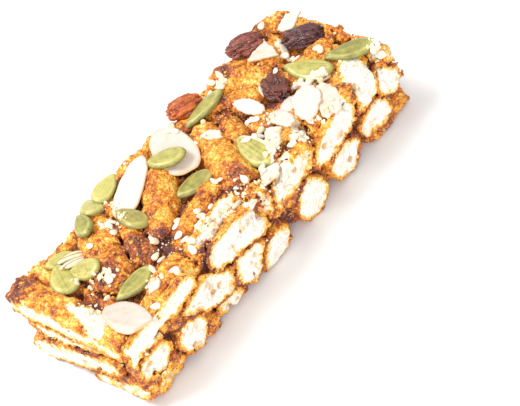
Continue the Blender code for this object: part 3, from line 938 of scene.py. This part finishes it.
def make_small_seeds(surface, placing):
    rng = random.Random(SMALL_SEED_SEED)
    sesame = Heap("sesame_seeds")
    top = placing.high[2] / MM
    for x, y, heading in scatter_sesame(random.Random(SESAME_SEED)):
        matrix = surface.matrix(x, y, heading, SESAME_LENGTH, SESAME_WIDTH, 0.3, 0.6)
        if matrix is None or matrix.translation.z > top - 0.7 or near_raisin(x, y, 1.2):
            continue
        points, faces, ring = sesame_body(rng)
        sesame.add(points, faces, matrix, ring=ring, tone=rng.random())
    sunflower = Heap("sunflower_kernels")
    for x, y, heading, length, width in SUNFLOWER_KERNELS:
        matrix = surface.matrix(x, y, heading, length, width, 0.3, 0.3)
        matrix.translation.z = min(matrix.translation.z, top - 1.1)
        points, faces, ring, across = sunflower_body(length, width)
        sunflower.add(points, faces, matrix, ring=ring, tone=rng.random(), across=across)
    return sesame.build(placing), sunflower.build(placing)


def make_raisin(name, row, placing):
    """A shrivelled raisin with folds along it and fine wrinkles between them."""
    x, y, z, heading, length, width, height = row
    bpy.ops.mesh.primitive_ico_sphere_add(subdivisions=6, radius=0.5)
    obj = bpy.context.object
    obj.name = name + "_skin"
    ball = read_points(obj)
    angle = np.arctan2(ball[:, 2], ball[:, 1])
    fold = 0.07 * np.cos(5 * angle + 4 * ball[:, 0] + x)
    fold += 0.04 * np.cos(9 * ball[:, 0] + 2 * angle + y)
    seed = 40 + int(abs(x))
    size = np.array((length, width, height))
    places = (ball * size).T
    bent = (places[0] + 0.8 * noise(places, 3.0, seed + 3), places[1], places[2])
    wrinkle = np.abs(noise(bent, (4.6, 1.25, 1.25), seed)) ** 0.6
    fine = np.abs(noise(bent, (1.9, 0.6, 0.6), seed + 1)) ** 0.6
    swell = (1.0 + fold) * (0.97 - 0.24 * (1 - wrinkle) - 0.09 * (1 - fine))
    points = ball * size * swell[:, None] * 1.07
    u, v = along_across(points[:, 0], points[:, 1], -heading)
    turned = np.stack((u + x, v + y, points[:, 2] + z), 1)
    low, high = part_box(name)
    write_points(obj, np.clip(placing.metres(turned), np.array(low), np.array(high)))
    # How high each point lies between the folds, for painted shade in the folds and painted
    # highlight on the ridges.
    point_attribute(obj, "wrinkle", wrinkle * 0.7 + fine * 0.3)
    obj.data.shade_smooth()
    return obj


def make_ball(level):
    bpy.ops.mesh.primitive_ico_sphere_add(subdivisions=level, radius=1.0)
    ball = bpy.context.object
    points = read_points(ball)
    faces = [tuple(p.vertices) for p in ball.data.polygons]
    bpy.data.objects.remove(ball, do_unlink=True)
    return points, faces


def crumb_body(ball, radius, rng):
    """A torn crumb: a ball cut by random planes, with a rough skin, squashed a little."""
    points, faces = ball
    reach = np.full(len(points), 1.25)
    for _ in range(9):
        normal = np.array([rng.gauss(0, 1) for _ in range(3)])
        normal /= np.linalg.norm(normal)
        reach = np.minimum(reach, rng.uniform(0.55, 1.0) / np.maximum(points @ normal, 0.05))
    stretch = np.array([rng.uniform(0.60, 1.25) for _ in range(3)])
    shift = np.array([rng.uniform(0, 50) for _ in range(3)])
    places = points * radius + shift
    rough = reach * (1 + 0.30 * noise(tuple(places.T), radius * 0.7, 51))
    return points * (rough[:, None] * stretch * radius), faces


def random_turn(rng):
    return Euler([rng.uniform(0, 6.28) for _ in range(3)]).to_matrix().to_4x4()


def make_crumbs(strands, surface, placing):
    """Crumbs of foam in clusters on the top, and fine ones, white or toasted, between strands."""
    rng = random.Random(CRUMB_SEED)
    ball = make_ball(2)
    large_ball = make_ball(3)
    top = placing.high[2] / MM
    foam = Heap("foam_crumbs")

    def drop(heap, ball, radius, place):
        points, faces = crumb_body(ball, radius, rng)
        heap.add(points, faces, Matrix.Translation(place) @ random_turn(rng), tone=rng.random())

    for cx, cy, spread, count, largest in CRUMB_CLUSTERS:
        for _ in range(count):
            x, y = cx + rng.gauss(0, spread * 0.55), cy + rng.gauss(0, spread * 0.55)
            radius = SMALLEST_CRUMB + (largest - SMALLEST_CRUMB) * rng.random() ** 2
            height = surface.height(x, y)
            if height is None or height < BAR_HEIGHT - 5 or height > top - radius * 1.3:
                continue
            if near_raisin(x, y, radius):
                continue
            place = Vector((x, y, height + radius * 0.35))
            drop(foam, large_ball if radius > 0.6 else ball, radius, place)

    points = read_points(strands)
    crease = np.empty(len(points), np.float32)
    strands.data.attributes["crease"].data.foreach_get("value", crease)
    normals = read_vectors(strands, "normal")
    places = placing.millimetres(points)
    caught = np.nonzero((crease > 0.5) & (places[:, 2] > 3))[0]
    caught_high = np.nonzero((crease > 0.5) & (places[:, 2] > 16))[0]
    toasted = Heap("toasted_crumbs")
    fine, coarse = FINE_CRUMBS
    piles = ((foam, caught, 260), (toasted, caught, 420), (toasted, caught_high, 600))
    for heap, found, amount in piles:
        for _ in range(amount):
            i = int(found[rng.randrange(len(found))])
            radius = fine + (coarse - fine) * rng.random() ** 2
            drop(heap, ball, radius, places[i] + normals[i] * radius * 0.35)
    return foam.build(placing), toasted.build(placing)


BLACK, WHITE = (0, 0, 0), (1, 1, 1)


class Shader:
    """Builds one node material. Cells and heights of bumps are in millimetres."""

    def __init__(self, name):
        self.material = bpy.data.materials.new(name)
        self.material.use_nodes = True
        self.tree = self.material.node_tree
        place = self.node("TexCoord").outputs["Object"]
        scale = {0: place, "Scale": 1 / MM}
        self.place = self.node("VectorMath", scale, operation="SCALE").outputs[0]

    def put(self, socket, value):
        if isinstance(value, bpy.types.NodeSocket):
            self.tree.links.new(value, socket)
        else:
            socket.default_value = value

    def node(self, kind, values=(), **settings):
        """A node with these settings, and with values or links for its inputs."""
        made = self.tree.nodes.new("ShaderNode" + kind)
        for key, value in settings.items():
            setattr(made, key, value)
        for key, value in dict(values).items():
            self.put(made.inputs[key], value)
        return made

    def math(self, operation, a, b=0.0, c=0.0):
        return self.node("Math", {0: a, 1: b, 2: c}, operation=operation).outputs[0]

    def times(self, a, b):
        return self.math("MULTIPLY", a, b)

    def weigh(self, *terms, rest=0.0):
        """The rest plus each value times its weight."""
        for value, weight in terms:
            rest = self.math("MULTIPLY_ADD", value, weight, rest)
        return rest

    def attribute(self, name):
        return self.node("Attribute", attribute_name=name).outputs["Fac"]

    def noise_outputs(self, cell, detail, roughness=0.5):
        values = {"Vector": self.place, "Scale": 1.0 / cell, "Detail": detail}
        return self.node("TexNoise", {**values, "Roughness": roughness}).outputs

    def noise(self, cell, detail=2.0, roughness=0.5):
        return self.noise_outputs(cell, detail, roughness)["Fac"]

    def warped(self, cell, amount):
        """The place, pushed about by a noise of this cell."""
        values = {0: self.noise_outputs(cell, 2.0)["Color"], 1: (amount,) * 3, 2: self.place}
        return self.node("VectorMath", values, operation="MULTIPLY_ADD").outputs[0]

    def cells(self, cell, feature="F1", place=None):
        values = {"Vector": self.place if place is None else place, "Scale": 1.0 / cell}
        return self.node("TexVoronoi", values, feature=feature).outputs["Distance"]

    def ramp(self, value, stops):
        made = self.node("ValToRGB", {0: value})
        elements = made.color_ramp.elements
        while len(elements) < len(stops):
            elements.new(0.5)
        for element, (place, colour) in zip(elements, stops):
            element.position = place
            element.color = (*colour, 1.0)
        return made.outputs["Color"]

    def step(self, value, low, high):
        """Black up to the low value, white from the high one."""
        return self.ramp(value, [(low, BLACK), (high, WHITE)])

    def mix(self, share, a, b, blend="MIX"):
        made = self.node("Mix", data_type="RGBA", blend_type=blend)
        sockets = {s.identifier: s for s in made.inputs}
        for key, value in (("Factor_Float", share), ("A_Color", a), ("B_Color", b)):
            self.put(sockets[key], (*value, 1.0) if isinstance(value, tuple) else value)
        return {s.identifier: s for s in made.outputs}["Result_Color"]

    def tint(self, colour, share, amount, other):
        """The colour, mixed with another by this amount of the share."""
        return self.mix(self.times(share, amount), colour, other)

    def bump(self, height, strength, distance, under=None):
        values = {"Strength": strength, "Distance": distance * MM, "Height": height}
        if under is not None:
            values["Normal"] = under
        return self.node("Bump", values).outputs["Normal"]

    def finish(self, colour, roughness, normal=None, **values):
        values.update(Base_Color=colour, Roughness=roughness)
        if normal is not None:
            values["Normal"] = normal
        for key, value in values.items():
            self.put(self.tree.nodes["Principled BSDF"].inputs[key.replace("_", " ")], value)
        return self.material


# Places and colours on ramps: skin by its toast and painted shade, foam by its depth, then the
# toppings.
SKIN_COLOURS = [
    (0.14, (0.98, 0.74, 0.26)), (0.27, (0.95, 0.56, 0.10)), (0.41, (0.87, 0.35, 0.035)),
    (0.55, (0.62, 0.165, 0.018)), (0.70, (0.37, 0.092, 0.034)), (0.90, (0.13, 0.036, 0.032)),
]
FOAM_COLOURS = [
    (0.10, (0.58, 0.17, 0.02)), (0.17, (0.93, 0.41, 0.03)), (0.26, (0.95, 0.60, 0.13)),
    (0.35, (0.93, 0.82, 0.55)), (0.50, (0.93, 0.91, 0.84)),
]
GREENS = [
    (0.20, (0.16, 0.15, 0.040)), (0.34, (0.29, 0.27, 0.062)), (0.48, (0.47, 0.42, 0.115)),
    (0.64, (0.61, 0.545, 0.165)), (0.82, (0.77, 0.69, 0.28)),
]
ALMOND_COLOURS = [
    (0.20, (0.74, 0.50, 0.34)), (0.36, (0.72, 0.62, 0.52)), (0.62, (0.71, 0.66, 0.60)),
    (0.90, (0.73, 0.61, 0.40)),
]
SESAME_COLOURS = [
    (0.15, (0.84, 0.64, 0.36)), (0.40, (0.90, 0.80, 0.60)), (0.75, (0.90, 0.86, 0.74)),
]


def strand_material():
    """Toasted skin outside, amber under it and pale foam deeper in, with painted shade: darker skin
    in creases, hollows and low on the sides, amber foam in creases and hollows, and dark brown in
    the deepest places.
    """
    s = Shader("toasted_strands")
    middle = s.noise(1.8, 3.0, 0.6)
    fine = s.noise(0.55, 2.0, 0.6)
    grains = s.cells(1.05, place=s.warped(1.0, 0.9))
    hollow = s.step(s.attribute("hollow"), 0.54, 0.80)
    shade = s.step(s.attribute("shade"), 0.54, 0.70)
    toast, crease, crack, side = (s.attribute(n) for n in ("toast", "crease", "crack", "side"))
    toast_and_painted_shade = s.weigh((s.noise(6.0), 0.90), (middle, 0.95), (fine, 0.85), (grains, 0.34), rest=-1.085)
    # The noises, toast and cracks are the skin's own toasting; crease and hollow add painted shade.
    toast_and_painted_shade = s.weigh((toast, 0.36), (crease, 0.12), (crack, 0.22), (hollow, 0.16), rest=toast_and_painted_shade)
    # Painted shade: darker in wide hollows and low on the sides.
    skin = s.ramp(s.weigh((shade, 0.10), (side, 0.12), rest=toast_and_painted_shade), SKIN_COLOURS)

    ragged = s.weigh((s.noise(1.3, 3.0, 0.65), 1.10), rest=-0.58)
    ragged = s.weigh((fine, 0.26), rest=s.math("SUBTRACT", ragged, 0.13))
    depth = s.weigh((s.attribute("torn"), 0.34), rest=s.attribute("depth"))
    depth = s.math("ADD", depth, ragged)
    pores = s.ramp(s.cells(0.8), [(0.10, (0.60, 0.38, 0.16)), (0.26, WHITE)])
    some_pores = s.ramp(s.noise(2.2), [(0.42, (0.25,) * 3), (0.60, (0.9,) * 3)])
    foam = s.mix(some_pores, s.ramp(depth, FOAM_COLOURS), pores, "MULTIPLY")
    foam = s.tint(foam, s.attribute("pit"), 0.85, (0.62, 0.38, 0.17))
    stain = s.step(s.noise(1.5, 3.0, 0.7), 0.58, 0.68)
    foam = s.tint(foam, stain, 0.50, (0.88, 0.56, 0.16))
    seam = s.cells(5.0, "DISTANCE_TO_EDGE", s.warped(2.6, 3.0))
    seam = s.ramp(seam, [(0.02, WHITE), (0.09, BLACK)])
    seam = s.times(seam, s.step(s.noise(3.6, 1.0), 0.52, 0.64))
    foam = s.tint(foam, seam, 0.6, (0.74, 0.44, 0.14))
    # Painted shade: the foam turns amber in creases and hollows, where it lies in shade.
    closed = s.math("MAXIMUM", s.times(crease, 0.85), hollow)
    closed = s.math("MAXIMUM", closed, s.times(shade, 0.75))
    foam = s.mix(closed, foam, (0.84, 0.44, 0.11))

    is_foam = s.step(depth, 0.10, 0.16)
    # Painted shade: dark brown in the deepest hollows, and less of it on the core between the
    # strands.
    deep = s.step(s.attribute("shade"), 0.68, 0.86)
    deep = s.math("MAXIMUM", deep, s.times(s.attribute("core"), 0.4))
    colour = s.mix(deep, s.mix(is_foam, skin, foam), (0.10, 0.026, 0.014))
    flecks = s.ramp(s.cells(0.85), [(0.14, WHITE), (0.24, BLACK)])
    flecks = s.times(s.times(flecks, s.step(s.noise(2.6, 1.0), 0.46, 0.56)), 0.8)
    colour = s.tint(colour, flecks, s.math("SUBTRACT", 1.0, is_foam), (0.95, 0.74, 0.46))
    rough = s.ramp(is_foam, [(0.0, (0.40,) * 3), (1.0, (0.88,) * 3)])
    bump = s.bump(fine, 0.9, 0.30)
    bump = s.bump(s.math("SUBTRACT", 1.0, grains), 0.8, 0.40, bump)
    bump = s.bump(s.cells(0.6), 0.55, 0.22, bump)
    return s.finish(colour, rough, bump, Specular_IOR_Level=0.32)


def kernel_material():
    """Green skin with lines along it, a pale raised rim and a darker edge."""
    s = Shader("pumpkin_kernel")
    ring, across, tone = (s.attribute(name) for name in ("ring", "across", "tone"))
    place = s.weigh((tone, 40.0), (across, 12.0))
    values = {"W": place, "Scale": 1.0, "Detail": 2.0}
    lines = s.node("TexNoise", values, noise_dimensions="1D").outputs["Fac"]
    shade = s.weigh((s.noise(2.2, 3.0, 0.6), 0.50), (tone, 0.22))
    shade = s.weigh((lines, 0.26), rest=s.math("SUBTRACT", shade, 0.02))
    rim = s.ramp(ring, [(0.66, BLACK), (0.80, WHITE), (0.90, BLACK)])
    green = s.tint(s.ramp(shade, GREENS), rim, 0.35, (0.78, 0.70, 0.26))
    green = s.tint(green, s.step(ring, 0.90, 1.0), 0.6, (0.13, 0.135, 0.040))
    green = s.tint(green, s.attribute("dull"), 0.14, (0.52, 0.30, 0.06))
    peel = s.step(s.math("SUBTRACT", ring, s.times(across, 0.7)), 0.88, 0.94)
    colour = s.tint(green, peel, s.attribute("peel"), (0.92, 0.86, 0.60))
    normal = s.bump(s.noise(0.5), 0.25, 0.10, s.bump(lines, 0.35, 0.18))
    return s.finish(colour, 0.31, normal)


def flake_material():
    s = Shader("almond_flake")
    colour = s.weigh((s.noise(3.0, 3.0), 0.8), (s.attribute("tone"), 0.30))
    colour = s.ramp(colour, ALMOND_COLOURS)
    edge = s.step(s.attribute("ring"), 0.90, 1.0)
    colour = s.tint(colour, edge, 0.75, (0.74, 0.46, 0.20))
    colour = s.tint(colour, s.step(s.noise(0.9), 0.66, 0.74), 0.35, (0.80, 0.55, 0.30))
    return s.finish(colour, 0.48, s.bump(s.noise(1.0, 3.0, 0.6), 0.4, 0.25))


def seed_material():
    s = Shader("sesame_seed")
    colour = s.weigh((s.noise(1.0), 0.6), (s.attribute("tone"), 0.4))
    return s.finish(s.ramp(colour, SESAME_COLOURS), 0.45, s.bump(s.noise(0.3, 1.0), 0.25, 0.08))


def sunflower_material():
    s = Shader("sunflower_kernel")
    wave = s.math("SINE", s.weigh((s.attribute("across"), 17.0), rest=1.2))
    stripes = s.step(s.weigh((wave, 0.5), rest=0.5), 0.04, 0.26)
    light = s.ramp(s.noise(1.0), [(0.3, (0.72, 0.62, 0.40)), (0.7, (0.88, 0.80, 0.58))])
    colour = s.mix(stripes, (0.30, 0.22, 0.10), light)
    return s.finish(colour, 0.5, s.bump(s.noise(0.4), 0.3, 0.1))


def crumb_material(name, light, dark):
    s = Shader(name)
    share = s.weigh((s.noise(0.6), 0.4), (s.attribute("tone"), 0.6))
    normal = s.bump(s.noise(0.25), 0.6, 0.12)
    return s.finish(s.ramp(share, [(0.2, light), (0.9, dark)]), 0.7, normal)


def raisin_material(name, ridge_and_highlight, fold):
    s = Shader(name)
    share = s.weigh((s.noise(1.2, 3.0), 0.5), rest=s.attribute("wrinkle"))
    # Darker in the folds and lighter on the ridges: partly the raisin's own colour, partly painted
    # shade in the folds and painted highlight on the ridges.
    colour = s.ramp(share, [(0.25, fold), (1.0, ridge_and_highlight)])
    return s.finish(colour, 0.20, s.bump(s.noise(0.45, 3.0), 0.7, 0.22))


# Each raisin's colours: on the ridges, with painted highlight, and in the folds, with painted
# shade.
RAISIN_COLOURS = {
    "raisin_1": ((0.62, 0.15, 0.03), (0.20, 0.025, 0.01)),
    "raisin_2": ((0.32, 0.080, 0.050), (0.055, 0.014, 0.012)),
    "raisin_3": ((0.15, 0.048, 0.048), (0.022, 0.009, 0.010)),
    "raisin_4": ((0.20, 0.055, 0.035), (0.030, 0.010, 0.010)),
}

# The camera's place on the bar's axes, in millimetres, and its turn in degrees.
CAMERA_PLACE = (-203.39, -287.93, 338.95)
CAMERA_TURN = (44.167, 15.465, -52.267)
FOCAL_LENGTH = 117.7
SENSOR_WIDTH = 36.0


def make_camera(placing):
    data = bpy.data.cameras.new("camera")
    data.lens = FOCAL_LENGTH
    data.sensor_width = SENSOR_WIDTH
    camera = add_object("camera", data)
    camera.location = placing.metres(CAMERA_PLACE)
    camera.rotation_euler = [math.radians(turn) for turn in CAMERA_TURN]
    bpy.context.scene.camera = camera


def make_floor():
    mesh = bpy.data.meshes.new("floor")
    corners = ((-1, -1), (1, -1), (1, 1), (-1, 1))
    points = [(x * FLOOR_HALF, y * FLOOR_HALF, 0) for x, y in corners]
    mesh.from_pydata(points, [], [(0, 1, 2, 3)])
    floor = add_object("floor", mesh)
    floor.location.z = -FLOOR_DROP
    s = Shader("floor")
    shade = s.ramp(s.noise(300.0, 1.0), [(0.0, (0.88,) * 3), (1.0, (0.90,) * 3)])
    mesh.materials.append(s.finish(shade, 0.9))
    floor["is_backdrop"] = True


def make_light(name, place, size, power):
    """A square light that shines at the bar's middle."""
    data = bpy.data.lights.new(name, "AREA")
    data.size = size
    data.energy = power
    light = add_object(name, data)
    light.location = place
    light.rotation_euler = Vector(place).to_track_quat("Z", "Y").to_euler()


def make_lights():
    scene = bpy.context.scene
    scene.world = bpy.data.worlds.new("studio")
    scene.world.use_nodes = True
    background = scene.world.node_tree.nodes["Background"]
    background.inputs["Color"].default_value = (1, 1, 1, 1)
    background.inputs["Strength"].default_value = 0.75
    make_light("key", (-0.35, 0.45, 0.9), 0.5, 9.0)
    make_light("front", (-0.5, -0.7, 0.5), 0.7, 5.0)
    scene.view_settings.view_transform = "Standard"


def wear(piece, material, node):
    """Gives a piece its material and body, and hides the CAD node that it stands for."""
    piece.data.materials.clear()
    piece.data.materials.append(material)
    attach(piece, "root")
    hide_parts(node)


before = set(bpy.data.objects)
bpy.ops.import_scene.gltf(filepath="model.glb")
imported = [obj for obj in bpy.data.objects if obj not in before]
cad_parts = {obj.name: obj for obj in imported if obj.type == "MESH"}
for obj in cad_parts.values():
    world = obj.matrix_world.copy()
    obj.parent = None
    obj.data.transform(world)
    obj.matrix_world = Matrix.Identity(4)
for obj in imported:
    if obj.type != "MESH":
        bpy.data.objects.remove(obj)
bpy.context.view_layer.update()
placing = Placing()
make_camera(placing)
make_floor()
make_lights()

strands = make_strands(placing)
wear(strands, strand_material(), "bar")
flakes = make_flakes(Surface([strands], placing), placing)
wear(flakes, flake_material(), "bar")
kernels = make_kernels(Surface([strands, flakes], placing), placing)
wear(kernels, kernel_material(), "bar")
surface = Surface([strands, flakes, kernels], placing)
sesame, sunflower = make_small_seeds(surface, placing)
wear(sesame, seed_material(), "bar")
wear(sunflower, sunflower_material(), "bar")
foam_crumbs, toasted_crumbs = make_crumbs(strands, surface, placing)
foam_looks = crumb_material("foam_crumb", (0.92, 0.86, 0.70), (0.90, 0.72, 0.42))
wear(foam_crumbs, foam_looks, "bar")
toasted_looks = crumb_material("toasted_crumb", (0.86, 0.42, 0.08), (0.40, 0.11, 0.03))
wear(toasted_crumbs, toasted_looks, "bar")
for name, row in RAISINS.items():
    looks = raisin_material(name + "_skin", *RAISIN_COLOURS[name])
    wear(make_raisin(name, row, placing), looks, name)
